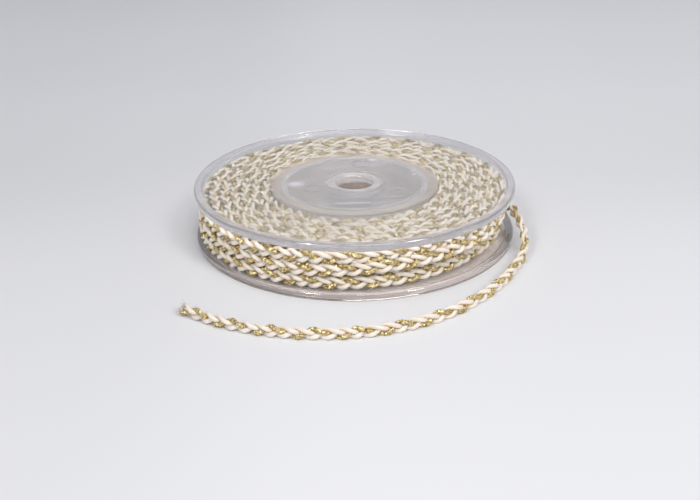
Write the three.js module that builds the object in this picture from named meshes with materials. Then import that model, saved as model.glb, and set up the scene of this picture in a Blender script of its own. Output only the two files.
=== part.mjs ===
import * as THREE from 'three';

// Three-strand braided cord wound on a clear two-part spool, with its loose end lying
// round the front of the spool. Millimetres, +Z up, origin at the middle of the base.

// ---- spool ----
const FLANGE_R = 35.0;        // outer radius of both flanges
const SPOOL_H = 12.2;         // overall height
const RIM_W = 1.75;           // radial width of the raised rim
const RIM_T = 1.65;           // height of the rim
const WEB_T = 0.95;           // thickness of the flange inside the rim
const EDGE = 0.3;             // chamfer on the rim's edges
const DRUM_R = 18.2;          // outer radius of the hub the cord is wound on
const DRUM_WALL = 1.9;
const SPIGOT_R = 15.95;       // ring of the upper half that sits inside the hub
const SPIGOT_WALL = 1.0;
const SPIGOT_L = 2.6;
const BORE_R = 4.1;           // centre hole
const TUBE_R = 6.1;           // outer radius of the centre tube
const JOIN_GAP = 0.3;         // between the two halves of the spool
const SPOOL_SEGMENTS = 72;

const LOWER_TOP = RIM_T;                   // inner face of the lower flange
const UPPER_BOTTOM = SPOOL_H - RIM_T;      // inner face of the upper flange

// ---- cord ----
const CORD_W = 2.45;          // across the braid's face
const CORD_D = 2.3;           // diameter of the plain tube that stands for the loose end
const LAYERS = 7;             // radial layers of turns
const LAYER_PITCH = 2.12;
const WINDING_IN = DRUM_R + 0.3;
const WINDING_OUT = WINDING_IN + LAYERS * LAYER_PITCH - 0.1;
const WINDING_SEGMENTS = 60;
const RIDGE = 0.42;           // how far a turn's crest stands over its valleys
const EXIT_DEG = 20;          // where the loose end leaves the winding
const STEP_DEG = 0.8;         // angle over which the last turn ends

// The three stacked rows of turns: middle height on the left, how far the row climbs
// towards the front right, and how much of a layer it lacks there.
const ROWS = [
  { z: 3.22, lift: 0.65, short: 0.45 },
  { z: 5.73, lift: 0.2, short: 1.0 },
  { z: 8.24, lift: -0.1, short: 0.0 },
];
const ROW_HALF = 1.27;

// Route of the loose end's centre line, from the winding to the cut end.
const TAIL = [
  { x: 31.62, y: 7.13, z: 5.62 },
  { x: 32.70, y: 4.15, z: 5.60 },
  { x: 33.75, y: 1.00, z: 5.54 },
  { x: 34.65, y: -2.30, z: 5.32 },
  { x: 35.35, y: -5.60, z: 4.78 },
  { x: 35.85, y: -8.60, z: 3.98 },
  { x: 36.00, y: -11.40, z: 3.10 },
  { x: 35.75, y: -14.10, z: 2.30 },
  { x: 35.10, y: -16.70, z: 1.68 },
  { x: 34.15, y: -19.10, z: 1.34 },
  { x: 33.00, y: -21.50, z: 1.26 },
  { x: 31.55, y: -24.50, z: 1.25 },
  { x: 29.80, y: -27.80, z: 1.25 },
  { x: 27.35, y: -31.55, z: 1.25 },
  { x: 24.50, y: -35.15, z: 1.25 },
  { x: 21.38, y: -38.45, z: 1.25 },
  { x: 17.95, y: -41.42, z: 1.25 },
  { x: 14.20, y: -44.00, z: 1.25 },
  { x: 10.14, y: -46.11, z: 1.25 },
  { x: 5.85, y: -47.68, z: 1.25 },
  { x: 1.40, y: -48.71, z: 1.25 },
  { x: -3.15, y: -49.20, z: 1.25 },
  { x: -7.72, y: -49.17, z: 1.25 },
  { x: -12.26, y: -48.63, z: 1.25 },
  { x: -16.72, y: -47.61, z: 1.25 },
  { x: -21.04, y: -46.11, z: 1.25 },
  { x: -25.18, y: -44.17, z: 1.25 },
  { x: -29.09, y: -41.79, z: 1.25 },
  { x: -32.71, y: -39.00, z: 1.25 },
];
const TAIL_STEPS = 40;
const TAIL_SIDES = 8;

const clear = { color: 0xe4e0ea, roughness: 0.06, metalness: 0.0, transparent: true, opacity: 0.3 };
const cream = { color: 0xf1e9dc, roughness: 0.55, metalness: 0.0 };
const creamGold = { color: 0xe6d8b8, roughness: 0.5, metalness: 0.15 };

// A ring turned from a closed profile of [radius, height] pairs.
function turned(profile, segments) {
  const points = profile.map(([r, z]) => new THREE.Vector2(r, z));
  points.push(points[0].clone());
  const geometry = new THREE.LatheGeometry(points, segments);
  geometry.rotateX(Math.PI / 2);
  return geometry;
}

function lowerHalf() {
  const web = LOWER_TOP - WEB_T;
  const top = UPPER_BOTTOM - JOIN_GAP;
  return turned([
    [BORE_R, web],
    [FLANGE_R - RIM_W, web],
    [FLANGE_R - RIM_W, EDGE],
    [FLANGE_R - RIM_W + EDGE, 0],
    [FLANGE_R - EDGE, 0],
    [FLANGE_R, EDGE],
    [FLANGE_R, LOWER_TOP - EDGE],
    [FLANGE_R - EDGE, LOWER_TOP],
    [DRUM_R, LOWER_TOP],
    [DRUM_R, top],
    [DRUM_R - DRUM_WALL, top],
    [DRUM_R - DRUM_WALL, LOWER_TOP],
    [TUBE_R, LOWER_TOP],
    [TUBE_R, top],
    [BORE_R, top],
  ], SPOOL_SEGMENTS);
}

function upperHalf() {
  const web = UPPER_BOTTOM + WEB_T;
  return turned([
    [BORE_R, UPPER_BOTTOM],
    [SPIGOT_R - SPIGOT_WALL, UPPER_BOTTOM],
    [SPIGOT_R - SPIGOT_WALL, UPPER_BOTTOM - SPIGOT_L],
    [SPIGOT_R, UPPER_BOTTOM - SPIGOT_L],
    [SPIGOT_R, UPPER_BOTTOM],
    [FLANGE_R - EDGE, UPPER_BOTTOM],
    [FLANGE_R, UPPER_BOTTOM + EDGE],
    [FLANGE_R, SPOOL_H - EDGE],
    [FLANGE_R - EDGE, SPOOL_H],
    [FLANGE_R - RIM_W + EDGE, SPOOL_H],
    [FLANGE_R - RIM_W, SPOOL_H - EDGE],
    [FLANGE_R - RIM_W, web],
    [BORE_R, web],
  ], SPOOL_SEGMENTS);
}

// Degrees gone round clockwise from the place where the loose end leaves, 0 to 360.
function clockwise(deg) {
  return ((EXIT_DEG - deg) % 360 + 360) % 360;
}

const smooth = (a, b, t) => {
  const u = Math.min(1, Math.max(0, (t - a) / (b - a)));
  return u * u * (3 - 2 * u);
};

// Where a row's turns lie at an angle: the middle height and the outer radius. A row that
// lacks part of a layer just past the exit gains it back over the front of the spool.
function rowAt(row, deg) {
  const gone = clockwise(deg);
  const lack = 1 - smooth(40, 150, gone);
  const right = smooth(-5, 35, gone) * (1 - smooth(60, 140, gone));
  return {
    z: row.z + row.lift * right,
    r: WINDING_OUT - row.short * lack * LAYER_PITCH * 0.98,
  };
}

// Outline of the winding cut at one angle, always with the same number of points:
// out under the layers, down the outer face over the rows' crests, and back in over the layers.
function windingSection(deg) {
  const rows = ROWS.map((row) => rowAt(row, deg));
  const outline = [];
  const bottom = rows[0].z - ROW_HALF;
  const top = rows[2].z + ROW_HALF;
  rows.forEach((row, i) => {
    const low = i === 0 ? bottom + 0.25 : (rows[i - 1].z + row.z) / 2 + 0.02;
    const high = i === 2 ? top - 0.25 : (row.z + rows[i + 1].z) / 2 - 0.02;
    outline.push([row.r - RIDGE, low]);
    outline.push([row.r, low + (row.z - low) * 0.55]);
    outline.push([row.r, high - (high - row.z) * 0.55]);
    outline.push([row.r - RIDGE, high]);
  });
  const innerTop = ROWS[2].z + ROW_HALF;
  const innerBottom = ROWS[0].z - ROW_HALF;
  const span = (row) => (row.r - WINDING_IN) / LAYERS;
  for (let i = LAYERS - 1; i >= 0; i -= 1) {
    const s = span(rows[2]);
    const near = i / (LAYERS - 1);
    const z = innerTop + (top - innerTop) * near;
    outline.push([WINDING_IN + (i + 0.5) * s, z]);
    outline.push([WINDING_IN + i * s, z - (i === 0 ? 0.25 : RIDGE)]);
  }
  for (let i = 0; i < LAYERS; i += 1) {
    const s = span(rows[0]);
    const near = i / (LAYERS - 1);
    const z = innerBottom + (bottom - innerBottom) * near;
    outline.push([WINDING_IN + i * s, z + (i === 0 ? 0.25 : RIDGE)]);
    outline.push([WINDING_IN + (i + 0.5) * s, z]);
  }
  return outline.reverse();
}

// The wound form: a turned ring whose sections follow the rows round the spool.
function winding() {
  const count = windingSection(0).length;
  const round = Array.from({ length: count }, (_, i) => {
    const a = (2 * Math.PI * i) / count;
    return [25 + 5 * Math.cos(a), 6 + 3 * Math.sin(a)];
  });
  const geometry = turned(round, WINDING_SEGMENTS);
  const position = geometry.getAttribute('position');
  const stride = count + 1;
  const rest = (360 - STEP_DEG) / (WINDING_SEGMENTS - 1);
  for (let i = 0; i <= WINDING_SEGMENTS; i += 1) {
    // the first section ends the last turn, the next one is just past it, and the last
    // section falls on the first again
    const at = i % WINDING_SEGMENTS;
    const gone = at === 0 ? 360 : STEP_DEG + (at - 1) * rest;
    const deg = EXIT_DEG - gone;
    const section = windingSection(at === 0 ? EXIT_DEG + 0.001 : deg);
    const a = THREE.MathUtils.degToRad(deg);
    for (let j = 0; j < stride; j += 1) {
      const [r, z] = section[j % count];
      position.setXYZ(i * stride + j, r * Math.cos(a), r * Math.sin(a), z);
    }
  }
  geometry.deleteAttribute('normal');
  geometry.computeVertexNormals();
  return geometry;
}

// A plain round tube along the loose end's route.
function tail() {
  const path = new THREE.CatmullRomCurve3(TAIL.map(({ x, y, z }) => new THREE.Vector3(x, y, z)), false, 'centripetal');
  const ring = new THREE.Shape(Array.from({ length: TAIL_SIDES }, (_, i) => {
    const a = (2 * Math.PI * (i + 0.5)) / TAIL_SIDES;
    return new THREE.Vector2((CORD_D / 2) * Math.cos(a), (CORD_D / 2) * Math.sin(a));
  }));
  return new THREE.ExtrudeGeometry(ring, { steps: TAIL_STEPS, extrudePath: path, curveSegments: 1 });
}

function piece(name, geometry, look) {
  const mesh = new THREE.Mesh(geometry, new THREE.MeshStandardMaterial(look));
  mesh.name = name;
  return mesh;
}

const spool = new THREE.Group();
spool.add(piece('lower_flange', lowerHalf(), clear));
spool.add(piece('upper_flange', upperHalf(), clear));

const cord = new THREE.Group();
cord.add(piece('cord_winding', winding(), cream));
cord.add(piece('cord_tail', tail(), creamGold));

const part = new THREE.Group();
part.add(spool, cord);

export default part;
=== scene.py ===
import math

import bpy
import numpy as np
from mathutils import Matrix, Quaternion, Vector


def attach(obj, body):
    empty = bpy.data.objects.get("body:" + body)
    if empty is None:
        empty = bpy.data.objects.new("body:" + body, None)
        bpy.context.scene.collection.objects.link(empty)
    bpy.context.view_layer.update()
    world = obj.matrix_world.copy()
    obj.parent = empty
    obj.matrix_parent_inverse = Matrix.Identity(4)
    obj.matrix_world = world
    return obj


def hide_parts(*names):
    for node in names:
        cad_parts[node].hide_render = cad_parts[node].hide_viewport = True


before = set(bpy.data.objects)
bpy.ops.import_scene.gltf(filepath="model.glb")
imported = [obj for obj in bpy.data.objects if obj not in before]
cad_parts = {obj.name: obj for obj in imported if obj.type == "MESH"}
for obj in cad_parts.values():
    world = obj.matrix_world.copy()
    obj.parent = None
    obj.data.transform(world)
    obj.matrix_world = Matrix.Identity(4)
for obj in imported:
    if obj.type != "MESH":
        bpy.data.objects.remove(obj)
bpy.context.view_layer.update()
scene = bpy.context.scene

MM = 0.001

# ---------------------------------------------------------------------------
# Camera: the photograph's viewing angle
# ---------------------------------------------------------------------------
VIEW_ELEVATION = 0.4157        # radians above the table
VIEW_DISTANCE = 237.5          # mm from the middle of the spool's base
FOCAL_PX = 1059.7              # for a 700 pixel wide frame

cam_data = bpy.data.cameras.new("camera")
cam_data.sensor_width = 36.0
cam_data.lens = FOCAL_PX / 700.0 * 36.0
cam_data.shift_x = -5.15 / 700.0
cam_data.shift_y = -20.63 / 700.0
cam_data.clip_start = 0.01
cam_data.clip_end = 20.0
camera = bpy.data.objects.new("camera", cam_data)
scene.collection.objects.link(camera)
camera.rotation_mode = "QUATERNION"
camera.location = (0.0, -VIEW_DISTANCE * math.cos(VIEW_ELEVATION) * MM, VIEW_DISTANCE * math.sin(VIEW_ELEVATION) * MM)
camera.rotation_quaternion = Quaternion((1, 0, 0), math.pi / 2 - VIEW_ELEVATION) @ Quaternion((0, 0, 1), -0.0148)
scene.camera = camera

# ---------------------------------------------------------------------------
# Sizes, in mm, as in the part's source
# ---------------------------------------------------------------------------
FLANGE_R = 35.0
SPOOL_H = 12.2
RIM_W = 1.75
RIM_T = 1.65
WEB_T = 0.95
DRUM_R = 18.2
DRUM_WALL = 1.9
SPIGOT_R = 15.95
SPIGOT_WALL = 1.0
SPIGOT_L = 2.6
BORE_R = 4.1
TUBE_R = 6.1
JOIN_GAP = 0.3
BOSS_Z = 10.05                 # the bore's short boss under the upper web ends here
LOWER_TOP = RIM_T
UPPER_BOTTOM = SPOOL_H - RIM_T

PITCH = 8.30                   # one full crossing of a strand, there and back
SWING = 0.83                   # how far a strand's middle swings across the face
DEPTH = 0.44                   # how far it moves in and out
STRAND_ACROSS = 0.42           # half width of a strand in the face
STRAND_DEEP = 0.42             # half depth of a strand

LAYERS = 7
LAYER_PITCH = 2.25
FIRST_LAYER = 19.5
ROW_Z = {"bottom": 2.97, "middle": 5.58, "top": 8.20}
TOP_INNER = 9.50               # the top row's inner turns, leaning over close under the web
EXIT_DEG = 20.0

# Route of the loose end's centre line, from the winding to the cut end.
TAIL = [
    (31.62, 7.13, 5.62), (32.70, 4.15, 5.60), (33.75, 1.00, 5.54), (34.65, -2.30, 5.32),
    (35.35, -5.60, 4.78), (35.85, -8.60, 3.98), (36.00, -11.40, 3.10), (35.75, -14.10, 2.30),
    (35.10, -16.70, 1.68), (34.15, -19.10, 1.34), (33.00, -21.50, 1.26), (31.55, -24.50, 1.25),
    (29.80, -27.80, 1.25), (27.35, -31.55, 1.25), (24.50, -35.15, 1.25), (21.38, -38.45, 1.25),
    (17.95, -41.42, 1.25), (14.20, -44.00, 1.25), (10.14, -46.11, 1.25), (5.85, -47.68, 1.25),
    (1.40, -48.71, 1.25), (-3.15, -49.20, 1.25), (-7.72, -49.17, 1.25), (-12.26, -48.63, 1.25),
    (-16.72, -47.61, 1.25), (-21.04, -46.11, 1.25), (-25.18, -44.17, 1.25), (-29.09, -41.79, 1.25),
    (-32.71, -39.00, 1.25),
]


# ---------------------------------------------------------------------------
# Small helpers
# ---------------------------------------------------------------------------
def smooth(a, b, t):
    u = np.clip((np.asarray(t, float) - a) / (b - a), 0.0, 1.0)
    return u * u * (3.0 - 2.0 * u)


def unit(v):
    return v / np.maximum(np.linalg.norm(v, axis=-1, keepdims=True), 1e-12)


def slow_noise(t, seed, longest, octaves=3):
    """A soft wander along t, about -1 to 1, the same on every run."""
    rng = np.random.default_rng(seed)
    out = np.zeros_like(np.asarray(t, float))
    for i in range(octaves):
        wave = longest / (1.0 + 0.83 * i) * rng.uniform(0.85, 1.15)
        out += np.sin(2 * math.pi * t / wave + rng.uniform(0, 2 * math.pi)) / (1.0 + i)
    return out / sum(1.0 / (1.0 + i) for i in range(octaves))


def catmull_rom(points, per_span):
    """A centripetal curve through the points."""
    p = np.array(points, float)
    p = np.vstack([2 * p[0] - p[1], p, 2 * p[-1] - p[-2]])
    out = []
    for i in range(1, len(p) - 2):
        p0, p1, p2, p3 = p[i - 1 : i + 3]
        t0 = 0.0
        t1 = t0 + np.linalg.norm(p1 - p0) ** 0.5
        t2 = t1 + np.linalg.norm(p2 - p1) ** 0.5
        t3 = t2 + np.linalg.norm(p3 - p2) ** 0.5
        t = np.linspace(t1, t2, per_span, endpoint=False)[:, None]
        a1 = (t1 - t) / (t1 - t0) * p0 + (t - t0) / (t1 - t0) * p1
        a2 = (t2 - t) / (t2 - t1) * p1 + (t - t1) / (t2 - t1) * p2
        a3 = (t3 - t) / (t3 - t2) * p2 + (t - t2) / (t3 - t2) * p3
        b1 = (t2 - t) / (t2 - t0) * a1 + (t - t0) / (t2 - t0) * a2
        b2 = (t3 - t) / (t3 - t1) * a2 + (t - t1) / (t3 - t1) * a3
        out.append((t2 - t) / (t2 - t1) * b1 + (t - t1) / (t2 - t1) * b2)
    return np.vstack(out + [p[-2][None, :]])


def lengths(points):
    return np.concatenate([[0.0], np.cumsum(np.linalg.norm(np.diff(points, axis=0), axis=1))])


def at(s_known, values, s):
    return np.stack([np.interp(s, s_known, values[:, i]) for i in range(values.shape[1])], axis=1)


# ---------------------------------------------------------------------------
# Mesh building
# ---------------------------------------------------------------------------
class Builder:
    """Collects swept shapes into one mesh."""

    def __init__(self):
        self.verts, self.faces, self.mats, self.yarn, self.crease, self.count = [], [], [], [], [], 0

    def tube(self, rings, yarn, mat, crease=None, cap=True):
        """rings is (along, round, 3), in mm, closed round and capped at its ends."""
        n, m = rings.shape[:2]
        base = self.count
        if crease is None:
            crease = np.zeros((n, m))
        self.verts.append(rings.reshape(-1, 3))
        self.yarn.append(yarn.reshape(-1, 3))
        self.crease.append(crease.reshape(-1))
        i = np.arange(n - 1)[:, None] * m
        j = np.arange(m)[None, :]
        j2 = (j + 1) % m
        quads = np.stack([i + j, i + j2, i + m + j2, i + m + j], axis=-1).reshape(-1, 4) + base
        self.faces.append(quads)
        self.mats.append(np.full(len(quads), mat))
        self.count += n * m
        if cap:
            for ring, flip in ((0, True), (n - 1, False)):
                centre = rings[ring].mean(axis=0)
                self.verts.append(centre[None, :])
                self.yarn.append(yarn[ring].mean(axis=0)[None, :])
                self.crease.append(np.array([crease[ring].mean()]))
                c = self.count
                self.count += 1
                a = base + ring * m + np.arange(m)
                b = base + ring * m + (np.arange(m) + 1) % m
                tri = np.stack([b, a, np.full(m, c)], axis=1) if flip else np.stack([a, b, np.full(m, c)], axis=1)
                self.faces.append(tri)
                self.mats.append(np.full(m, mat))

    def make(self, name, materials):
        mesh = bpy.data.meshes.new(name)
        verts = np.vstack(self.verts) * MM
        sizes = np.concatenate([np.full(len(f), f.shape[1]) for f in self.faces])
        loops = np.concatenate([f.reshape(-1) for f in self.faces])
        starts = np.concatenate([[0], np.cumsum(sizes)[:-1]])
        mesh.vertices.add(len(verts))
        mesh.vertices.foreach_set("co", verts.astype(np.float32).ravel())
        mesh.loops.add(len(loops))
        mesh.loops.foreach_set("vertex_index", loops.astype(np.int32))
        mesh.polygons.add(len(sizes))
        mesh.polygons.foreach_set("loop_start", starts.astype(np.int32))
        mesh.polygons.foreach_set("loop_total", sizes.astype(np.int32))
        mesh.polygons.foreach_set("material_index", np.concatenate(self.mats).astype(np.int32))
        mesh.polygons.foreach_set("use_smooth", np.ones(len(sizes), bool))
        layer = mesh.attributes.new("yarn", "FLOAT_VECTOR", "POINT")
        layer.data.foreach_set("vector", np.vstack(self.yarn).astype(np.float32).ravel())
        folds = mesh.attributes.new("crease", "FLOAT", "POINT")
        folds.data.foreach_set("value", np.concatenate(self.crease).astype(np.float32))
        mesh.update(calc_edges=True)
        mesh.validate(clean_customdata=False)
        for m in materials:
            mesh.materials.append(m)
        ob = bpy.data.objects.new(name, mesh)
        scene.collection.objects.link(ob)
        return ob


def plait_frames(line, s):
    """Centre, outward and upward directions along the braid at lengths s, with its roll."""
    c = at(line["s"], line["points"], s)
    t = unit(np.gradient(c, s, axis=0))
    n = at(line["s"], line["outward"], s)
    n = unit(n - (n * t).sum(1, keepdims=True) * t)
    u = np.cross(n, t)
    roll = np.interp(s, line["s"], line["roll"])[:, None]
    return c, n * np.cos(roll) + u * np.sin(roll), u * np.cos(roll) - n * np.sin(roll)


def swing_of(phase):
    return (np.cos(phase) - 0.02 * np.cos(3 * phase)) / 0.98


def sway(line, s, k):
    """Where strand k's middle lies in the braid's section: across the face, and in or out."""
    phase = np.interp(s, line["s"], line["phase"]) + 2 * math.pi * k / 3.0
    across = SWING * (1.0 + 0.05 * slow_noise(s, 11 + k, 17.0))
    deep = DEPTH * (1.0 + 0.06 * slow_noise(s, 31 + k, 23.0))
    return across * swing_of(phase), deep * np.sin(2 * phase), np.sin(2 * phase)


def strand(builder, line, k, s0, s1, per_pitch, sides, mat, gold=False, thread=0.0, spread=None, press=1.0, full=1.0):
    """Sweeps one of the three strands of the braid from length s0 to s1 of a line."""
    n = max(int(round((s1 - s0) / PITCH * per_pitch)), 4)
    s = np.linspace(s0, s1, n + 1)
    c, out, up = plait_frames(line, s)
    lateral, inout, g = sway(line, s, k)
    width = np.full_like(s, STRAND_ACROSS) * (1.0 + 0.035 * slow_noise(s, 51 + k, 9.0))
    depth = np.full_like(s, STRAND_DEEP * press)
    inout = inout * press
    lateral = lateral * full
    if gold:
        width = width * (1.08 if full >= 1.0 else 1.02)
        depth = depth * (1.06 if full >= 1.0 else 1.0)
    elif press < 1.0 and full == 1.0:
        width = width * 0.94
    elif full > 1.0:
        width = width * 1.06
        depth = depth * 1.05
    elif full < 1.0:
        width = width * 1.03
        depth = depth * 0.98
    if spread is not None:
        lat_add, out_add, thin = spread(s, k)
        lateral = lateral + lat_add
        inout = inout + out_add
        width = width * thin
        depth = depth * thin
    x = c + lateral[:, None] * up + inout[:, None] * out
    t = unit(np.gradient(x, s, axis=0))
    nn = unit(out - (out * t).sum(1, keepdims=True) * t)
    mm = np.cross(nn, t)
    a = np.arange(sides) * 2 * math.pi / sides
    ca, sa = np.cos(a)[None, :], np.sin(a)[None, :]
    d = np.where(ca > 0, depth[:, None] * (1.0 + 0.16 * g[:, None]), depth[:, None] * (1.0 - 0.16 * g[:, None]))
    # each strand spreads a little towards the middle of the braid and fills the space there
    inward = np.clip(-sa * lateral[:, None] / SWING, 0, 1)
    w = width[:, None] * (1.0 + 0.18 * inward)
    if gold:
        lay = 1.9
        lobes = 1.0 + 0.09 * np.cos(3 * a[None, :] - 2 * math.pi * s[:, None] / lay + k)
        bead = 1.0 + 0.09 * np.cos(2 * math.pi * (s + 0.12 * slow_noise(s, 71, 2.9))[:, None] / 0.46 + 2 * a[None, :])
        d = d * lobes * bead
        w = w * lobes * bead
    if thread:
        twist = 1.0 + thread * np.cos(5 * a[None, :] + 2 * math.pi * s[:, None] / 2.6)
        d = d * twist
        w = w * twist
    rings = x[:, None, :] + (d * ca)[..., None] * nn[:, None, :] + (w * sa)[..., None] * mm[:, None, :]
    # how deep each point lies in the fold against the other two strands; the cream material paints shade there from it
    y = lateral[:, None] + w * sa
    o = inout[:, None] + d * ca
    crease = np.zeros_like(y)
    for j in range(3):
        if j != k:
            lj, oj, _ = sway(line, s, j)
            near = np.sqrt(((y - lj[:, None] * full) / 0.50) ** 2 + ((o - oj[:, None] * press) / (0.44 * press)) ** 2) - 1.0
            crease = np.maximum(crease, np.exp(-((np.maximum(near, 0) * 0.47 / 0.24) ** 2)))
    yarn = np.stack([np.repeat(s[:, None], sides, 1), np.repeat(ca, n + 1, 0), np.repeat(sa, n + 1, 0)], axis=-1)
    builder.tube(rings, yarn, mat, crease)


# ---------------------------------------------------------------------------
# Lines of the cord
# ---------------------------------------------------------------------------
def around(theta, knots):
    """Eases between (angle in degrees, value) knots that go once round the spool."""
    knots = sorted((k % 360.0, v) for k, v in knots)
    a = np.array([knots[-1][0] - 360.0] + [k for k, _ in knots] + [knots[0][0] + 360.0])
    v = np.array([knots[-1][1]] + [v for _, v in knots] + [knots[0][1]])
    t = np.mod(theta, 360.0)
    i = np.clip(np.searchsorted(a, t, side="right") - 1, 0, len(a) - 2)
    u = (t - a[i]) / (a[i + 1] - a[i])
    u = 0.5 * u + 0.5 * u * u * (3 - 2 * u)
    return v[i] + (v[i + 1] - v[i]) * u


def wander(total, seed):
    return slow_noise(total, seed, 97.0), slow_noise(total, seed + 7, 141.0)


def line_from(points, outward, roll=None, pins=()):
    """A braid's middle line. pins are groups of (length, turns of the gold strand); a group after
    the first keeps its own spacing and moves by whole turns to fit what comes before it."""
    s = lengths(points)
    turns = s / PITCH
    at_s, shift = [], []
    for group in pins:
        g = np.array(group, float)
        gap = g[:, 1] - np.interp(g[:, 0], s, turns)
        before = shift[-1] if shift else 0.0
        gap = gap - round(float(gap.mean() - before))
        at_s += list(g[:, 0])
        shift += list(gap)
    if at_s:
        turns = turns + np.interp(s, at_s, shift)
    phase = 2 * math.pi * turns - 4 * math.pi / 3
    if roll is None:
        roll = np.zeros_like(s)
    return {"points": points, "outward": outward, "s": s, "phase": phase, "roll": roll}


def radial(theta_deg):
    a = np.radians(theta_deg)
    return np.stack([np.cos(a), np.sin(a), np.zeros_like(a)], axis=1)


# The loose end, from its cut end to the winding, then the middle row inwards.
tail_points = catmull_rom(TAIL, 24)[::-1]
tail_length = lengths(tail_points)[-1]

CROSS_AT = 115.0
CROSS_HALF = 24.0


def bump_at(theta, middle, half):
    return np.exp(-(((np.mod(theta - middle + 180, 360) - 180) / half) ** 2))


def middle_row():
    psi = np.arange(2.0, 360 * 6 + 300, 2.0)
    theta = EXIT_DEG + psi
    layer = np.full_like(psi, 6.0)
    for j in range(6):
        layer -= smooth(285 + 360 * j, 372 + 360 * j, psi)
    wr, wz = wander(psi, 5)
    ease = smooth(0, 60, psi)
    r = FIRST_LAYER + LAYER_PITCH * layer + 0.08 * wr * ease
    r = r - 0.60 * (1 - smooth(0, 150, psi)) * (layer > 5.9)
    nestle = smooth(4.1, 5.0, layer) * (1 - smooth(5.0, 5.9, layer))
    r = r + 1.50 * nestle
    r = r + 0.15 * smooth(190, 270, psi) * (1 - smooth(270, 340, psi))
    r = r + 0.45 * bump_at(theta, 180.0, 34.0) * smooth(5.0, 6.0, layer)
    # it dips where the crossing cord lies over it
    r = r - bump_at(theta, CROSS_AT, 17.0) * np.clip((layer - 3.0) / 3.0, 0, 1) ** 1.5 * 0.5
    high = np.interp(psi, [0, 60, 203, 233, 248, 263, 280, 296, 320, 345, 370, 420],
                     [5.62, 5.58, 5.50, 5.68, 6.20, 6.75, 7.15, 7.35, 7.25, 6.90, 6.3, ROW_Z["middle"]])
    # the turns beneath lie in the grooves between the top turns
    beneath = 1 - smooth(4.0, 4.9, layer)
    r = r + 1.12 * beneath
    z = high + 0.09 * wz * ease + 1.35 * (1 - smooth(5.0, 5.9, layer)) + 1.05 * beneath
    pts = radial(theta) * r[:, None]
    pts[:, 2] = z
    roll = np.radians(np.interp(psi, [230, 285, 340, 400], [0, 6, 6, 0]))
    return pts, radial(theta), theta, roll


def outer_rows():
    """Bottom row outwards, across to the top row, and inwards again, going counterclockwise."""
    om = np.arange(CROSS_HALF, 360 * 14 - CROSS_HALF, 2.0)
    theta = CROSS_AT + om
    layer = np.zeros_like(om)
    for j in range(1, 7):
        layer += smooth(360 * j - CROSS_HALF, 360 * j + CROSS_HALF, om)
    for j in range(8, 14):
        layer -= smooth(360 * j - CROSS_HALF, 360 * j + CROSS_HALF, om)
    cross = smooth(2520 - CROSS_HALF, 2520 + CROSS_HALF, om)
    wr, wz = wander(om, 23)
    share = layer / 6.0
    bottom = 1 - cross
    r = FIRST_LAYER + LAYER_PITCH * layer + 0.09 * wr
    nestle = (1 - cross) * smooth(4.1, 5.0, layer) * (1 - smooth(5.0, 5.9, layer))
    r = r + 1.50 * nestle
    lack = around(theta, [(-180, 0.0), (-130, -0.1), (-95, 0.35), (-78, 0.65), (-60, 1.15), (-40, 1.6), (0, 1.5), (40, 1.3), (90, 0.5)])
    r = r - bottom * lack * share
    slack = around(theta, [(-180, 0.0), (-110, 0.0), (-75, 0.3), (-45, 0.4), (0, 0.3), (60, 0.2), (120, 0.0)])
    r = r - cross * slack * smooth(0.85, 1.0, share)
    r = r + 1.0 * np.sin(math.pi * cross) ** 0.8
    r = r + 0.45 * bump_at(theta, 180.0, 34.0) * smooth(0.84, 1.0, share) * bottom
    r = r + 0.16 * slow_noise(om, 47, 83.0) * cross * smooth(0.02, 0.10, share) * (1 - smooth(0.90, 0.98, share))
    lift = around(theta, [(-180, 0.0), (-110, 0.0), (-80, 0.12), (-60, 0.32), (-40, 0.6), (0, 0.55), (40, 0.35), (90, 0.1)])
    low = ROW_Z["bottom"] + lift * smooth(0.2, 0.95, share) + 1.30 * nestle
    rise = around(theta, [(-180, -0.05), (-137, 0.0), (-120, 0.05), (-107, 0.2), (-92, 0.45), (-77, 0.8), (-60, 1.0), (-40, 1.0), (-15, 0.85), (20, 0.7), (95, 0.6), (140, 0.35)])
    outermost = smooth(0.84, 1.0, share)
    high = TOP_INNER * (1 - outermost) + (ROW_Z["top"] + rise) * outermost
    z = low * bottom + high * cross
    z = z + 0.08 * wz * np.where(bottom > 0.5, smooth(0, 1, share) * 0.5, 1.0 - 0.6 * smooth(0.7, 1.0, share))
    pts = radial(theta) * r[:, None]
    pts[:, 2] = z
    tip = around(theta, [(-180, 0.0), (-105, 0.0), (-75, -16.0), (-55, -24.0), (-20, -20.0), (20, -10.0), (90, 0.0)])
    inner = cross * (1 - smooth(0.86, 0.98, share))
    flat = 84.0 + 14.0 * np.sin(np.radians(theta)) + 11.0 * slow_noise(om, 41, 67.0) + 8.0 * slow_noise(om, 43, 23.0)
    roll = np.radians(tip * cross * smooth(0.9, 1.0, share) + flat * inner)
    return pts, radial(theta), theta, layer, cross, roll


def tail_outward(points):
    t = unit(np.gradient(points, axis=0))
    flat = np.stack([t[:, 1], -t[:, 0], np.zeros(len(t))], axis=1)
    return unit(flat)


def pins_at(theta_line, s_line, first_s, rows):
    """Turns a row's (angle, turns) table into (length, turns) on the turn that starts at first_s."""
    start = int(np.searchsorted(s_line, first_s))
    out = []
    for angle, turns in rows:
        wanted = angle + 360.0 * math.ceil((theta_line[start] - angle) / 360.0)
        out.append((float(np.interp(wanted, theta_line, s_line)), turns))
    return out


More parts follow.
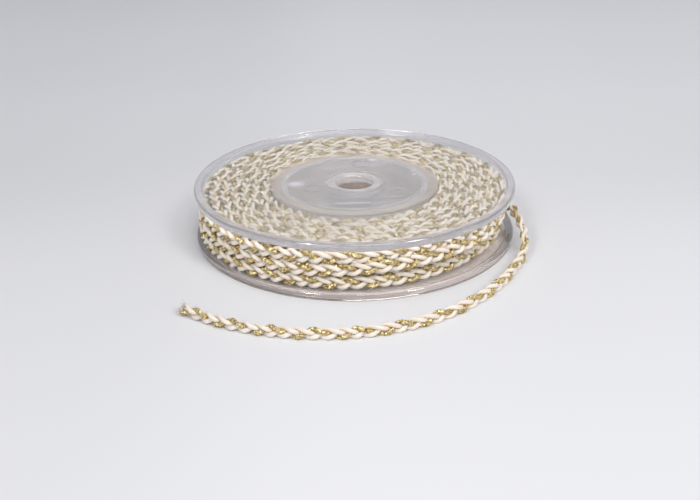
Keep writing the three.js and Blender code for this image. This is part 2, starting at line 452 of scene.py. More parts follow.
# Where the gold strand shows: turns n + 1/8 on the upper half of the braid and n + 5/8 on the lower.
TAIL_GOLD = [
    (0.78, -0.375), (4.99, 0.125), (8.89, 0.625), (13.23, 1.125), (17.16, 1.625), (20.92, 2.125), (24.77, 2.625),
    (28.96, 3.125), (33.11, 3.625), (36.60, 4.125), (41.20, 4.625), (44.99, 5.125), (48.99, 5.625), (53.15, 6.125),
    (62.33, 7.125), (71.03, 8.125), (78.67, 9.125),
    (88.58, 10.125), (94.01, 10.625), (100.07, 11.125),
]
TOP_GOLD = [
    (-141.5, -0.375), (-134, 0.125), (-127, 0.625), (-119.5, 1.125), (-112, 1.625), (-105.5, 2.125), (-98, 2.625),
    (-90, 3.125), (-82, 3.625), (-74.5, 4.125), (-67.5, 4.625), (-60.5, 5.125), (-54.5, 5.625), (-48, 6.125), (-42, 6.625),
]
MIDDLE_GOLD = [
    (-143.5, -0.375), (-137, 0.125), (-129, 0.625), (-121.8, 1.125), (-114.5, 1.625), (-107.3, 2.125), (-100, 2.625),
    (-92.3, 3.125), (-85, 3.625), (-77.3, 4.125), (-70.5, 4.625), (-63, 5.125), (-56.3, 5.625), (-48.8, 6.125), (-42, 6.625),
]
BOTTOM_GOLD = [
    (-142, -0.375), (-136, 0.125), (-128, 0.625), (-120.5, 1.125), (-112.8, 1.625), (-106, 2.125), (-98.5, 2.625),
    (-91.3, 3.125), (-83.5, 3.625), (-77, 4.125), (-69, 4.625), (-62, 5.125), (-53.8, 5.625), (-47, 6.125), (-40, 6.625),
    (-33, 7.125),
]

mid_pts, mid_out, mid_theta, mid_roll = middle_row()
first_pts = np.vstack([tail_points, mid_pts])
first_s = lengths(first_pts)
first_line = line_from(
    first_pts,
    np.vstack([tail_outward(tail_points), mid_out]),
    roll=np.concatenate([np.zeros(len(tail_points)), mid_roll]),
    pins=[TAIL_GOLD, pins_at(mid_theta, first_s[len(tail_points):], first_s[len(tail_points)], MIDDLE_GOLD)],
)
out_pts, out_out, out_theta, out_layer, out_cross, out_roll = outer_rows()
out_s = lengths(out_pts)
second_line = line_from(
    out_pts, out_out, roll=out_roll,
    pins=[
        pins_at(out_theta, out_s, float(np.interp(CROSS_AT + 2160, out_theta, out_s)), BOTTOM_GOLD),
        pins_at(out_theta, out_s, float(np.interp(CROSS_AT + 2520, out_theta, out_s)), TOP_GOLD),
    ],
)


# ---------------------------------------------------------------------------
# Materials
# ---------------------------------------------------------------------------
def new_material(name):
    m = bpy.data.materials.new(name)
    m.use_nodes = True
    nt = m.node_tree
    nt.nodes.clear()
    out = nt.nodes.new("ShaderNodeOutputMaterial")
    return m, nt, out


def add(nt, kind, **values):
    n = nt.nodes.new(kind)
    for k, v in values.items():
        if k in n.inputs:
            n.inputs[k].default_value = v
        else:
            setattr(n, k, v)
    return n


def ramp(nt, stops, interpolation="LINEAR"):
    n = nt.nodes.new("ShaderNodeValToRGB")
    n.color_ramp.interpolation = interpolation
    e = n.color_ramp.elements
    while len(e) < len(stops):
        e.new(0.5)
    for el, (pos, col) in zip(e, stops):
        el.position = pos
        el.color = (*col, 1.0)
    return n


def cream_material():
    m, nt, out = new_material("cord_cream")
    L = nt.links.new
    bsdf = add(nt, "ShaderNodeBsdfPrincipled")
    coord = add(nt, "ShaderNodeTexCoord")
    yarn = add(nt, "ShaderNodeAttribute", attribute_name="yarn")
    sep = add(nt, "ShaderNodeSeparateXYZ")
    L(yarn.outputs["Vector"], sep.inputs[0])
    # soft filament lines that turn round the strand
    arc = add(nt, "ShaderNodeMath", operation="ARCTAN2")
    L(sep.outputs["Z"], arc.inputs[0])
    L(sep.outputs["Y"], arc.inputs[1])
    turn = add(nt, "ShaderNodeMath", operation="MULTIPLY")
    turn.inputs[1].default_value = 9.0
    L(arc.outputs[0], turn.inputs[0])
    along = add(nt, "ShaderNodeMath", operation="MULTIPLY_ADD")
    along.inputs[1].default_value = 2 * math.pi * 9 / 5.2
    L(sep.outputs["X"], along.inputs[0])
    L(turn.outputs[0], along.inputs[2])
    fine = add(nt, "ShaderNodeTexNoise", Scale=2600.0, Detail=3.0, Roughness=0.6)
    L(coord.outputs["Object"], fine.inputs["Vector"])
    jitter = add(nt, "ShaderNodeMath", operation="MULTIPLY_ADD")
    jitter.inputs[1].default_value = 2.4
    L(fine.outputs["Fac"], jitter.inputs[0])
    L(along.outputs[0], jitter.inputs[2])
    lines = add(nt, "ShaderNodeMath", operation="SINE")
    L(jitter.outputs[0], lines.inputs[0])
    # colour
    broad = add(nt, "ShaderNodeTexNoise", Scale=420.0, Detail=2.0, Roughness=0.5)
    L(coord.outputs["Object"], broad.inputs["Vector"])
    tone = ramp(nt, [(0.32, (0.84, 0.75, 0.65)), (0.55, (0.875, 0.80, 0.715)), (0.72, (0.90, 0.84, 0.77))])
    L(broad.outputs["Fac"], tone.inputs["Fac"])
    shade = ramp(nt, [(0.0, (0.86, 0.84, 0.82)), (1.0, (1.0, 1.0, 1.0))])
    half = add(nt, "ShaderNodeMath", operation="MULTIPLY_ADD")
    half.inputs[1].default_value = 0.5
    half.inputs[2].default_value = 0.5
    L(lines.outputs[0], half.inputs[0])
    L(half.outputs[0], shade.inputs["Fac"])
    mixc = add(nt, "ShaderNodeMix", data_type="RGBA", blend_type="MULTIPLY")
    mixc.inputs["Factor"].default_value = 0.55
    L(tone.outputs["Color"], mixc.inputs["A"])
    L(shade.outputs["Color"], mixc.inputs["B"])
    # painted warm shade where strands fold against each other, standing in for their shadow on one another
    fold = add(nt, "ShaderNodeAttribute", attribute_name="crease")
    painted_fold_shade = add(nt, "ShaderNodeMix", data_type="RGBA", blend_type="MULTIPLY")
    painted_fold_shade.inputs["B"].default_value = (0.80, 0.65, 0.45, 1)
    deep = add(nt, "ShaderNodeMapRange")
    deep.inputs["From Min"].default_value = 0.15
    deep.inputs["From Max"].default_value = 1.0
    deep.inputs["To Max"].default_value = 0.92
    L(fold.outputs["Fac"], deep.inputs["Value"])
    L(deep.outputs["Result"], painted_fold_shade.inputs["Factor"])
    L(mixc.outputs["Result"], painted_fold_shade.inputs["A"])
    L(painted_fold_shade.outputs["Result"], bsdf.inputs["Base Color"])
    rough = add(nt, "ShaderNodeMapRange")
    rough.inputs["To Min"].default_value = 0.42
    rough.inputs["To Max"].default_value = 0.60
    L(fine.outputs["Fac"], rough.inputs["Value"])
    L(rough.outputs["Result"], bsdf.inputs["Roughness"])
    height = add(nt, "ShaderNodeMath", operation="MULTIPLY_ADD")
    height.inputs[1].default_value = 0.5
    L(lines.outputs[0], height.inputs[0])
    L(fine.outputs["Fac"], height.inputs[2])
    bump = add(nt, "ShaderNodeBump", Strength=0.35, Distance=0.00004)
    L(height.outputs[0], bump.inputs["Height"])
    L(bump.outputs["Normal"], bsdf.inputs["Normal"])
    bsdf.inputs["Sheen Weight"].default_value = 0.25
    bsdf.inputs["Sheen Roughness"].default_value = 0.4
    bsdf.inputs["Specular IOR Level"].default_value = 0.3
    bsdf.inputs["Subsurface Weight"].default_value = 0.35
    bsdf.inputs["Subsurface Radius"].default_value = (0.0009, 0.0006, 0.0004)
    bsdf.inputs["Subsurface Scale"].default_value = 1.0
    L(bsdf.outputs[0], out.inputs[0])
    return m


def gold_material():
    m, nt, out = new_material("cord_gold")
    L = nt.links.new
    bsdf = add(nt, "ShaderNodeBsdfPrincipled")
    coord = add(nt, "ShaderNodeTexCoord")
    # little flat facets of foil, each turned its own way
    cells = add(nt, "ShaderNodeTexVoronoi", Scale=3900.0, Randomness=1.0)
    L(coord.outputs["Object"], cells.inputs["Vector"])
    middle = add(nt, "ShaderNodeVectorMath", operation="SUBTRACT")
    middle.inputs[1].default_value = (0.5, 0.5, 0.5)
    L(cells.outputs["Color"], middle.inputs[0])
    tilt = add(nt, "ShaderNodeVectorMath", operation="SCALE")
    tilt.inputs["Scale"].default_value = 1.25
    L(middle.outputs[0], tilt.inputs[0])
    geo = add(nt, "ShaderNodeNewGeometry")
    turned = add(nt, "ShaderNodeVectorMath", operation="ADD")
    L(geo.outputs["Normal"], turned.inputs[0])
    L(tilt.outputs[0], turned.inputs[1])
    norm = add(nt, "ShaderNodeVectorMath", operation="NORMALIZE")
    L(turned.outputs[0], norm.inputs[0])
    bump = add(nt, "ShaderNodeBump", Strength=0.5, Distance=0.00006)
    L(cells.outputs["Distance"], bump.inputs["Height"])
    L(norm.outputs[0], bump.inputs["Normal"])
    L(bump.outputs["Normal"], bsdf.inputs["Normal"])
    # colour from dark thread in the gaps to bright foil
    patch = add(nt, "ShaderNodeTexNoise", Scale=1500.0, Detail=3.0, Roughness=0.65)
    L(coord.outputs["Object"], patch.inputs["Vector"])
    sepc = add(nt, "ShaderNodeSeparateColor")
    L(cells.outputs["Color"], sepc.inputs[0])
    mixv = add(nt, "ShaderNodeMath", operation="MULTIPLY_ADD")
    mixv.inputs[1].default_value = 0.45
    L(sepc.outputs[0], mixv.inputs[0])
    L(patch.outputs["Fac"], mixv.inputs[2])
    tone = ramp(nt, [
        (0.40, (0.28, 0.18, 0.06)),
        (0.56, (0.44, 0.32, 0.128)),
        (0.72, (0.63, 0.49, 0.225)),
        (0.90, (0.83, 0.73, 0.44)),
    ])
    L(mixv.outputs[0], tone.inputs["Fac"])
    L(tone.outputs["Color"], bsdf.inputs["Base Color"])
    rough = add(nt, "ShaderNodeMapRange")
    rough.inputs["To Min"].default_value = 0.36
    rough.inputs["To Max"].default_value = 0.54
    L(patch.outputs["Fac"], rough.inputs["Value"])
    L(rough.outputs["Result"], bsdf.inputs["Roughness"])
    bsdf.inputs["Metallic"].default_value = 0.72
    L(bsdf.outputs[0], out.inputs[0])
    return m


# painted highlights on the disc, drawn as whiter, hazier patches: radius, angle, half width and half depth in mm,
# strength
DISC_HIGHLIGHT_PATCHES = [
    (12.9, 184.0, 3.6, 2.6, 1.0), (12.3, 180.0, 5.2, 2.2, 0.5), (14.2, 73.0, 2.4, 1.2, 1.0), (12.6, 66.0, 5.5, 2.4, 0.45),
    (14.0, 19.0, 2.0, 3.6, 0.50), (12.4, -92.0, 10.5, 1.3, 0.55), (9.8, -100.0, 7.5, 1.2, 0.22), (11.0, 118.0, 7.0, 4.0, 0.30),
]


def clear_material():
    m, nt, out = new_material("spool_clear")
    L = nt.links.new
    coord = add(nt, "ShaderNodeTexCoord")
    waves = add(nt, "ShaderNodeTexNoise", Scale=95.0, Detail=2.0, Roughness=0.5)
    L(coord.outputs["Object"], waves.inputs["Vector"])
    specks = add(nt, "ShaderNodeTexNoise", Scale=900.0, Detail=4.0, Roughness=0.7)
    L(coord.outputs["Object"], specks.inputs["Vector"])
    # its cloudiness changes from the middle outwards: disc, spigot, drum wall, web, rim
    flat = add(nt, "ShaderNodeVectorMath", operation="MULTIPLY")
    flat.inputs[1].default_value = (1.0, 1.0, 0.0)
    L(coord.outputs["Object"], flat.inputs[0])
    radius = add(nt, "ShaderNodeVectorMath", operation="LENGTH")
    L(flat.outputs[0], radius.inputs[0])
    zone = add(nt, "ShaderNodeMath", operation="MULTIPLY")
    zone.inputs[1].default_value = 1.0 / 0.036
    L(radius.outputs["Value"], zone.inputs[0])
    tall = add(nt, "ShaderNodeSeparateXYZ")
    L(coord.outputs["Object"], tall.inputs[0])

    def zones(bore, boss, disc, spigot, wall, web, rim, edge):
        """A colour or a value for each radius, in mm over 36."""
        steps = [(4.45, bore), (4.65, boss), (6.15, boss), (6.35, disc), (14.85, disc), (15.10, spigot), (16.15, spigot),
                 (16.45, wall), (18.15, wall), (18.45, web), (32.65, web), (32.95, rim), (34.55, rim), (34.85, edge)]
        n = ramp(nt, [(r / 36.0, c if isinstance(c, tuple) else (c,) * 3) for r, c in steps])
        L(zone.outputs[0], n.inputs["Fac"])
        return n.outputs["Color"]

    def between(z0, z1):
        """0 below height z0 and 1 above z1, in mm."""
        n = add(nt, "ShaderNodeMapRange")
        n.inputs["From Min"].default_value = z0 * MM
        n.inputs["From Max"].default_value = z1 * MM
        L(tall.outputs["Z"], n.inputs["Value"])
        return n.outputs["Result"]

    def choose(fac, a, b, blend="MIX"):
        n = add(nt, "ShaderNodeMix", data_type="RGBA", blend_type=blend)
        L(fac, n.inputs["Factor"]) if not isinstance(fac, float) else setattr(n.inputs["Factor"], "default_value", fac)
        for value, socket in ((a, n.inputs["A"]), (b, n.inputs["B"])):
            if isinstance(value, tuple):
                socket.default_value = (*value, 1)
            else:
                L(value, socket)
        return n.outputs["Result"]

    # painted highlights: whiter, hazier patches in the disc's top skin
    highlight_patches = None
    for reach, angle, wide, deep, strength in DISC_HIGHLIGHT_PATCHES:
        away = add(nt, "ShaderNodeVectorMath", operation="SUBTRACT")
        a = math.radians(angle)
        away.inputs[1].default_value = (reach * math.cos(a) * MM, reach * math.sin(a) * MM, 0)
        L(flat.outputs[0], away.inputs[0])
        scaled = add(nt, "ShaderNodeVectorMath", operation="MULTIPLY")
        scaled.inputs[1].default_value = (1000.0 / wide, 1000.0 / deep, 0.0)
        L(away.outputs[0], scaled.inputs[0])
        far = add(nt, "ShaderNodeVectorMath", operation="LENGTH")
        L(scaled.outputs[0], far.inputs[0])
        soft = add(nt, "ShaderNodeMapRange", interpolation_type="SMOOTHSTEP")
        soft.inputs["From Min"].default_value = 1.0
        soft.inputs["From Max"].default_value = 0.0
        soft.inputs["To Max"].default_value = strength
        L(far.outputs["Value"], soft.inputs["Value"])
        if highlight_patches is None:
            highlight_patches = soft.outputs["Result"]
        else:
            both = add(nt, "ShaderNodeMath", operation="MAXIMUM")
            L(highlight_patches, both.inputs[0])
            L(soft.outputs["Result"], both.inputs[1])
            highlight_patches = both.outputs[0]
    skin = add(nt, "ShaderNodeMath", operation="MULTIPLY")
    L(highlight_patches, skin.inputs[0])
    L(between(11.2, 11.4), skin.inputs[1])
    highlight_patches = skin.outputs[0]

    high = between(3.0, 4.2)
    deep = between(9.92, 9.80)
    # zone tints; the darker greys of the disc and bore are painted shade for the shaded hollow inside the hub
    clear_zones = [(0.735, 0.725, 0.73), (0.83, 0.82, 0.825), (0.785, 0.74, 0.685), (0.79, 0.79, 0.775), (0.84, 0.825, 0.86), (0.66, 0.645, 0.67)]
    upper_tint = zones((0.74, 0.735, 0.745), (0.80, 0.795, 0.805), *clear_zones)
    # painted shade: the bore is tinted dark brown below the boss, where it lies in shadow
    deep_bore_shaded_tint = zones((0.34, 0.295, 0.27), (0.84, 0.83, 0.83), *clear_zones)
    # the lower flange is tinted darker and browner: painted shade from the winding above it and a painted reflection
    # of the brown cords
    lower_shaded_tint = zones((0.70, 0.66, 0.64), (0.80, 0.79, 0.79), (0.82, 0.81, 0.81), (0.84, 0.82, 0.80), (0.80, 0.75, 0.71), (0.82, 0.76, 0.72), (0.645, 0.595, 0.57), (0.52, 0.475, 0.455))
    # painted light and shade: the drum wall is tinted paler at the front, and the web and rim darker at the back
    def along_y(y0, y1):
        n = add(nt, "ShaderNodeMapRange")
        n.inputs["From Min"].default_value = y0 * MM
        n.inputs["From Max"].default_value = y1 * MM
        L(tall.outputs["Y"], n.inputs["Value"])
        return n.outputs["Result"]

    middle_tints = ((0.76, 0.755, 0.76), (0.80, 0.795, 0.805))
    front_lit_wall_tint = zones(*middle_tints, *clear_zones[:2], (0.92, 0.87, 0.80), *clear_zones[3:])
    back_shaded_tint = zones(*middle_tints, *clear_zones[:3], (0.75, 0.753, 0.745), (0.76, 0.745, 0.78), clear_zones[5])
    upper = choose(along_y(14.0, 22.0), choose(along_y(-7.0, -14.0), choose(deep, upper_tint, deep_bore_shaded_tint), front_lit_wall_tint), back_shaded_tint)
    tint = choose(high, lower_shaded_tint, upper)
    # painted highlights: the patches are tinted whiter and let less light through
    tint = choose(highlight_patches, tint, (0.96, 0.93, 0.975))
    upper_see = zones(0.72, 0.80, 0.84, 0.74, 0.78, 0.97, 0.80, 0.84)
    lower_see = zones(0.84, 0.84, 0.84, 0.86, 0.88, 0.95, 0.95, 0.95)
    see = choose(highlight_patches, choose(high, lower_see, upper_see), (0.35, 0.35, 0.35))
    upper_haze = zones(0.02, 0.04, 0.20, 0.10, 0.16, 0.0, 0.22, 0.12)
    lower_haze = zones(0.20, 0.20, 0.25, 0.20, 0.10, 0.0, 0.0, 0.0)
    haze = choose(high, lower_haze, upper_haze)
    bsdf = add(nt, "ShaderNodeBsdfPrincipled")
    L(tint, bsdf.inputs["Base Color"])
    bsdf.inputs["IOR"].default_value = 1.5
    bsdf.inputs["Coat Weight"].default_value = 0.7
    bsdf.inputs["Coat Roughness"].default_value = 0.02
    L(see, bsdf.inputs["Transmission Weight"])
    grain = add(nt, "ShaderNodeMapRange")
    grain.inputs["From Min"].default_value = 0.35
    grain.inputs["From Max"].default_value = 0.75
    grain.inputs["To Min"].default_value = 0.0
    grain.inputs["To Max"].default_value = 0.03
    L(specks.outputs["Fac"], grain.inputs["Value"])
    rough = add(nt, "ShaderNodeMath", operation="ADD")
    L(haze, rough.inputs[0])
    L(grain.outputs["Result"], rough.inputs[1])
    L(rough.outputs[0], bsdf.inputs["Roughness"])
    bump = add(nt, "ShaderNodeBump", Strength=0.03, Distance=0.0002)
    L(waves.outputs["Fac"], bump.inputs["Height"])
    L(bump.outputs["Normal"], bsdf.inputs["Normal"])
    clear = add(nt, "ShaderNodeBsdfTransparent")
    clear.inputs["Color"].default_value = (0.95, 0.945, 0.955, 1)
    path = add(nt, "ShaderNodeLightPath")
    mix = add(nt, "ShaderNodeMixShader")
    L(path.outputs["Is Shadow Ray"], mix.inputs["Fac"])
    L(bsdf.outputs[0], mix.inputs[1])
    L(clear.outputs[0], mix.inputs[2])
    L(mix.outputs[0], out.inputs[0])
    return m


CREAM = cream_material()
GOLD = gold_material()
CLEAR = clear_material()


# ---------------------------------------------------------------------------
# The loose end
# ---------------------------------------------------------------------------
def cut_spread(s, k):
    """The strands ease apart over the last few millimetres before the cut."""
    near = 1 - smooth(0.0, 5.0, s)
    soon = 1 - smooth(0.0, 2.4, s)
    lat = near * (0.12, 0.0, 0.0)[k] + soon * (0.0, -0.85, 0.42)[k] - 0.05 * (1 - smooth(80.0, 100.0, s))
    out = near * (0.05, 0.0, 0.0)[k] + soon * (0.0, -0.15, 0.15)[k]
    thin = 1.0 + near * (-0.05, 0.0, 0.05)[k]
    return lat, out, thin


def fray(builder, k, count, seed, longest, thick, lean):
    """Fine fibres that stand out of strand k where it is cut."""
    rng = np.random.default_rng(seed)
    s = np.array([0.0, 0.35])
    c, out, up = plait_frames(first_line, s)
    lateral, inout, _ = sway(first_line, s, k)
    lat_add, out_add, _ = cut_spread(s, k)
    x = c + (lateral * 0.91 + lat_add)[:, None] * up + (inout * 0.88 + out_add)[:, None] * out
    back = unit((x[0] - x[1])[None, :])[0]
    u, n = up[0], out[0]
    for _ in range(count):
        where = rng.uniform(0, 2 * math.pi)
        far = math.sqrt(rng.uniform(0, 1)) * 0.34
        start = x[0] + far * (math.cos(where) * u + math.sin(where) * n) - back * 0.25
        way = back + 0.55 * (math.cos(where) * u + math.sin(where) * n) * far / 0.34 + lean[0] * u + lean[1] * n
        way = way / np.linalg.norm(way)
        curl = rng.normal(0, 0.30, 3)
        reach = rng.uniform(0.45, 1.0) * longest
        t = np.linspace(0, 1, 9)[:, None]
        line = start + way * reach * t + curl * reach * t * t
        line[:, 2] = np.maximum(line[:, 2], thick + 0.02)
        tang = unit(np.gradient(line, axis=0))
        side = unit(np.cross(tang, np.array([0.31, 0.17, 0.93])))
        other = np.cross(tang, side)
        a = np.arange(6) * math.pi / 3
        r = thick * (1.0 - 0.45 * t)
        rings = line[:, None, :] + r[:, None] * (np.cos(a)[None, :, None] * side[:, None, :] + np.sin(a)[None, :, None] * other[:, None, :])
        yarn = np.stack([np.repeat(reach * t, 6, 1), np.tile(np.cos(a), (9, 1)), np.tile(np.sin(a), (9, 1))], axis=-1)
        builder.tube(rings, yarn, 0)


white = Builder()
for k in (0, 1):
    strand(white, first_line, k, 0.0, tail_length, 56, 16, 0, thread=0.02, spread=cut_spread, press=0.88, full=0.91)
fray(white, 0, 44, 301, 1.3, 0.060, (0.25, -0.1))
fray(white, 1, 40, 302, 1.5, 0.065, (-0.25, 0.25))
tail_white = white.make("loose_end_cream", [CREAM])
gold = Builder()
strand(gold, first_line, 2, 0.0, tail_length, 110, 20, 0, gold=True, spread=cut_spread, press=0.88, full=0.91)
fray(gold, 2, 30, 303, 1.0, 0.065, (0.05, 0.2))
tail_gold = gold.make("loose_end_gold", [GOLD])

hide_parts("cord_tail")
for piece in (tail_white, tail_gold):
    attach(piece, "root")

# ---------------------------------------------------------------------------
# The winding
# ---------------------------------------------------------------------------
def spans(line_s, mask):
    """Runs of a line's length where mask holds."""
    runs, start = [], None
    for i, m in enumerate(mask):
        if m and start is None:
            start = i
        if not m and start is not None:
            runs.append((line_s[start], line_s[i]))
            start = None
    if start is not None:
        runs.append((line_s[start], line_s[-1]))
    return runs


def winding_pieces():
    s1 = first_line["s"]
    mid_s = s1[len(tail_points):]
    psi_turn = (mid_theta - EXIT_DEG) / 360.0
    groups = {
        "outer": [(first_line, tail_length, mid_s[psi_turn < 1.95][-1])],
        "hidden": [(first_line, mid_s[psi_turn < 1.95][-1], mid_s[-1])],
    }
    s2 = second_line["s"]
    turn2 = (out_theta - CROSS_AT) / 360.0

    def cut(a, b):
        inside = (turn2 >= a) & (turn2 <= b)
        return s2[inside][0], s2[inside][-1]

    lo_in = cut(0.0, 5.93)
    outer = (lo_in[1], cut(0, 8.07)[1])
    top_in = (outer[1], s2[-1])
    groups["outer"].append((second_line, *outer))
    groups["top"] = [(second_line, *top_in)]
    groups["under"] = [(second_line, *lo_in)]
    detail = {
        "outer": (26, 12, 56, 14),
        "top": (24, 12, 48, 14),
        "under": (16, 8, 24, 8),
        "hidden": (16, 8, 24, 8),
    }
    def slimmer(s, k):
        """The inner top turns are drawn tighter; their two pale strands look thinner than the gold."""
        return 0.0, 0.0, 1.0 if k == 2 else 0.96

    made = []
    for part, runs in groups.items():
        spread = slimmer if part == "top" else None
        press = 0.80 if part == "top" else 1.0
        full = 1.06 if part == "outer" else 1.0
        wp, ws, gp, gs = detail[part]
        w, g = Builder(), Builder()
        for line, a, b in runs:
            for k in (0, 1):
                strand(w, line, k, a, b, wp, ws, 0, spread=spread, press=press, full=full)
            strand(g, line, 2, a, b, gp, gs, 0, gold=True, spread=spread, press=press, full=full)
        ow = w.make("winding_cream_" + part, [CREAM])
        og = g.make("winding_gold_" + part, [GOLD])
        made += [ow, og]
    for o in made:
        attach(o, "root")
    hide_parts("cord_winding")
    return made


winding = winding_pieces()

# ---------------------------------------------------------------------------
# The spool
# ---------------------------------------------------------------------------
def rounded(profile, radii, steps=6):
    """A closed outline with its corners rounded; each corner has its own radius."""
    pts = [np.array(p, float) for p in profile]
    out = []
    n = len(pts)
    for i in range(n):
        p, q, r = pts[i - 1], pts[i], pts[(i + 1) % n]
        rad = radii[i]
        d1, d2 = p - q, r - q
        l1, l2 = np.linalg.norm(d1), np.linalg.norm(d2)
        d1, d2 = d1 / l1, d2 / l2
        ang = math.acos(float(np.clip(d1 @ d2, -1, 1)))
        if rad <= 0 or ang > math.pi - 0.05:
            out.append(q)
            continue
        cut = min(rad / math.tan(ang / 2), 0.48 * l1, 0.48 * l2)
        rad = cut * math.tan(ang / 2)
        a, b = q + d1 * cut, q + d2 * cut
        centre = q + (d1 + d2) / np.linalg.norm(d1 + d2) * (rad / math.sin(ang / 2))
        va, vb = a - centre, b - centre
        total = math.acos(float(np.clip((va @ vb) / (np.linalg.norm(va) * np.linalg.norm(vb)), -1, 1)))
        for t in np.linspace(0, 1, steps + 1):
            w1 = math.sin((1 - t) * total) / math.sin(total)
            w2 = math.sin(t * total) / math.sin(total)
            out.append(centre + w1 * va + w2 * vb)
    return np.array(out)


def turned(name, outline, segments=180):
    """Turns a closed outline of (radius, height) round the axis."""
    m = len(outline)
    a = np.arange(segments) * 2 * math.pi / segments
    ring = np.stack([
        outline[None, :, 0] * np.cos(a)[:, None],
        outline[None, :, 0] * np.sin(a)[:, None],
        np.repeat(outline[None, :, 1], segments, 0),
    ], axis=-1).reshape(-1, 3) * MM
    i = np.arange(segments)[:, None] * m
    i2 = ((np.arange(segments) + 1) % segments)[:, None] * m
    j = np.arange(m)[None, :]
    j2 = (j + 1) % m
    quads = np.stack([i + j, i2 + j, i2 + j2, i + j2], axis=-1).reshape(-1, 4)
    mesh = bpy.data.meshes.new(name)
    mesh.from_pydata(ring.tolist(), [], quads.tolist())
    mesh.validate()
    import bmesh
    bm = bmesh.new()
    bm.from_mesh(mesh)
    bmesh.ops.recalc_face_normals(bm, faces=bm.faces)
    bm.to_mesh(mesh)
    bm.free()
    for p in mesh.polygons:
        p.use_smooth = True
    mesh.set_sharp_from_angle(angle=math.radians(35))
    ob = bpy.data.objects.new(name, mesh)
    scene.collection.objects.link(ob)
    mesh.materials.append(CLEAR)
    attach(ob, "root")
    return ob


def lower_half():
    web = LOWER_TOP - WEB_T
    top = UPPER_BOTTOM - JOIN_GAP
    tube = BOSS_Z - 0.2
    outline = [
        (BORE_R, web), (FLANGE_R - RIM_W, web), (FLANGE_R - RIM_W, 0.0), (FLANGE_R, 0.0),
        (FLANGE_R, LOWER_TOP), (DRUM_R, LOWER_TOP), (DRUM_R, top), (DRUM_R - DRUM_WALL, top),
        (DRUM_R - DRUM_WALL, LOWER_TOP), (TUBE_R, LOWER_TOP), (TUBE_R, tube), (BORE_R, tube),
    ]
    radii = [0.2, 0.15, 0.35, 0.50, 0.50, 0.15, 0.2, 0.2, 0.2, 0.25, 0.3, 0.3]
    return turned("spool_lower", rounded(outline, radii))


def upper_half():
    web = UPPER_BOTTOM + WEB_T
    outline = [
        (BORE_R, BOSS_Z), (TUBE_R, BOSS_Z), (TUBE_R, UPPER_BOTTOM),
        (SPIGOT_R - SPIGOT_WALL, UPPER_BOTTOM), (SPIGOT_R - SPIGOT_WALL, UPPER_BOTTOM - SPIGOT_L),
        (SPIGOT_R, UPPER_BOTTOM - SPIGOT_L), (SPIGOT_R, UPPER_BOTTOM), (FLANGE_R, UPPER_BOTTOM),
        (FLANGE_R, SPOOL_H), (FLANGE_R - RIM_W, SPOOL_H), (FLANGE_R - RIM_W, web), (TUBE_R + 0.45, web),
        (TUBE_R + 0.40, web + 0.3), (TUBE_R - 0.25, web + 0.3), (TUBE_R - 0.31, web), (BORE_R, web),
    ]
    radii = [0.60, 0.25, 0.3, 0.2, 0.25, 0.25, 0.15, 0.45, 0.50, 0.40, 0.25, 0.05, 0.28, 0.28, 0.05, 0.60]
    return turned("spool_upper", rounded(outline, radii))


def moulding_marks():
    """Three small round marks that the mould left on the upper web."""
    top = UPPER_BOTTOM + WEB_T + 0.01
    outline = rounded([(1.48, top), (1.64, top), (1.64, top + 0.07), (1.48, top + 0.07)], [0.0, 0.0, 0.03, 0.03])
    joined = []
    for i, (reach, angle, size) in enumerate(((9.8, 204.0, 1.2), (11.2, 82.0, 1.3), (11.7, -36.0, 1.7))):
        ob = turned("mark_%d" % (i + 1), outline * [size, 1.0], 48)
        a = math.radians(angle)
        ob.data.transform(Matrix.Translation((reach * MM * math.cos(a), reach * MM * math.sin(a), 0)))
        joined.append(ob)
    return joined


lower = lower_half()
upper = upper_half()
moulding_marks()
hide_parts("lower_flange")
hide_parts("upper_flange")

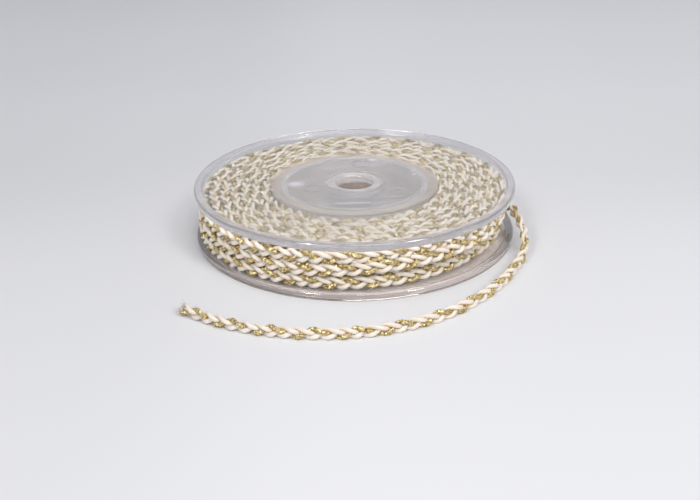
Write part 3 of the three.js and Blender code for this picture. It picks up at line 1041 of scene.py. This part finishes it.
# ---------------------------------------------------------------------------
# Floor, backdrop and light
# ---------------------------------------------------------------------------
def floor():
    pts, faces = [], []
    ys = [-1.2, -0.6, 0.0, 0.6] + [0.9 + 0.5 * math.sin(t) for t in np.linspace(0, math.pi / 2, 14)]
    zs = [0, 0, 0, 0] + [0.5 * (1 - math.cos(t)) for t in np.linspace(0, math.pi / 2, 14)]
    ys.append(1.4)
    zs.append(2.2)
    xs = np.linspace(-1.8, 1.8, 7)
    for y, z in zip(ys, zs):
        for x in xs:
            pts.append((x, y, z))
    w = len(xs)
    for i in range(len(ys) - 1):
        for j in range(w - 1):
            faces.append((i * w + j, i * w + j + 1, (i + 1) * w + j + 1, (i + 1) * w + j))
    mesh = bpy.data.meshes.new("floor")
    mesh.from_pydata(pts, [], faces)
    for p in mesh.polygons:
        p.use_smooth = True
    ob = bpy.data.objects.new("floor", mesh)
    scene.collection.objects.link(ob)
    m, nt, out = new_material("floor")
    bsdf = add(nt, "ShaderNodeBsdfPrincipled")
    # painted shade: the paper floor is made a little darker to the sides and just behind the spool
    coord = add(nt, "ShaderNodeTexCoord")
    place = add(nt, "ShaderNodeSeparateXYZ")
    nt.links.new(coord.outputs["Object"], place.inputs[0])

    def across(axis, lo, hi, stops):
        span = add(nt, "ShaderNodeMapRange")
        span.inputs["From Min"].default_value = lo
        span.inputs["From Max"].default_value = hi
        nt.links.new(place.outputs[axis], span.inputs["Value"])
        n = ramp(nt, [((v - lo) / (hi - lo), (f,) * 3) for v, f in stops], "EASE")
        nt.links.new(span.outputs["Result"], n.inputs["Fac"])
        return n.outputs["Color"]

    wide = across("X", -0.2, 0.2, [(-0.11, 0.91), (-0.05, 0.935), (0.0, 1.0), (0.05, 0.98), (0.11, 0.96)])
    long = across("Y", -0.3, 0.3, [(-0.12, 1.0), (-0.025, 0.99), (0.035, 0.935), (0.11, 0.99), (0.21, 1.03)])
    painted_floor_shade = add(nt, "ShaderNodeMix", data_type="RGBA", blend_type="MULTIPLY")
    painted_floor_shade.inputs["Factor"].default_value = 1.0
    nt.links.new(wide, painted_floor_shade.inputs["A"])
    nt.links.new(long, painted_floor_shade.inputs["B"])
    paper = add(nt, "ShaderNodeMix", data_type="RGBA", blend_type="MULTIPLY")
    paper.inputs["Factor"].default_value = 1.0
    paper.inputs["A"].default_value = (0.80, 0.805, 0.83, 1)
    nt.links.new(painted_floor_shade.outputs["Result"], paper.inputs["B"])
    nt.links.new(paper.outputs["Result"], bsdf.inputs["Base Color"])
    bsdf.inputs["Roughness"].default_value = 0.75
    bsdf.inputs["Specular IOR Level"].default_value = 0.25
    nt.links.new(bsdf.outputs[0], out.inputs[0])
    mesh.materials.append(m)
    return ob


floor()

world = bpy.data.worlds.new("studio")
scene.world = world
world.use_nodes = True
bg = world.node_tree.nodes["Background"]
bg.inputs["Color"].default_value = (0.93, 0.945, 1.0, 1)
bg.inputs["Strength"].default_value = 0.46


def area(name, place, aim, size, power, colour=(1, 1, 1), shape="RECTANGLE", size_y=None):
    d = bpy.data.lights.new(name, "AREA")
    d.shape = shape
    d.size = size
    if size_y is not None:
        d.size_y = size_y
    d.energy = power
    d.color = colour
    ob = bpy.data.objects.new(name, d)
    scene.collection.objects.link(ob)
    ob.location = place
    ob.rotation_mode = "QUATERNION"
    ob.rotation_quaternion = (Vector(aim) - Vector(place)).to_track_quat("-Z", "Y")
    return ob


area("overhead", (0.16, -0.28, 0.52), (0.08, -0.12, 0), 0.40, 1.25, (1.0, 0.985, 0.96), size_y=0.30)
area("left_window", (-0.42, -0.62, 0.55), (0, -0.03, 0), 0.18, 2.15, (1, 0.985, 0.96), size_y=0.18)
area("right_window", (0.60, -0.58, 0.60), (0, -0.03, 0), 0.20, 2.6, (1, 0.985, 0.96), size_y=0.20)
area("middle_lamp", (0.03, -0.75, 0.62), (0, 0, 0), 0.07, 0.16, (1, 1, 1), size_y=0.05)
for name, place, size, power in (("glint_left", (-0.42, -0.62, 0.56), 0.10, 1.45), ("glint_right", (0.52, -0.60, 0.58), 0.10, 1.55), ("glint_middle", (0.03, -0.75, 0.62), 0.06, 0.14)):
    lamp = area(name, place, (0, 0, 0), size, power, (1, 1, 1), size_y=size)
    lamp.visible_diffuse = False
    lamp.visible_transmission = False

scene.cycles.max_bounces = 16
scene.cycles.glossy_bounces = 12
scene.cycles.transmission_bounces = 16
scene.cycles.transparent_max_bounces = 16
scene.view_settings.view_transform = "Standard"
scene.view_settings.look = "None"
scene.view_settings.exposure = 0.0
scene.view_settings.gamma = 1.0

bpy.context.view_layer.update()
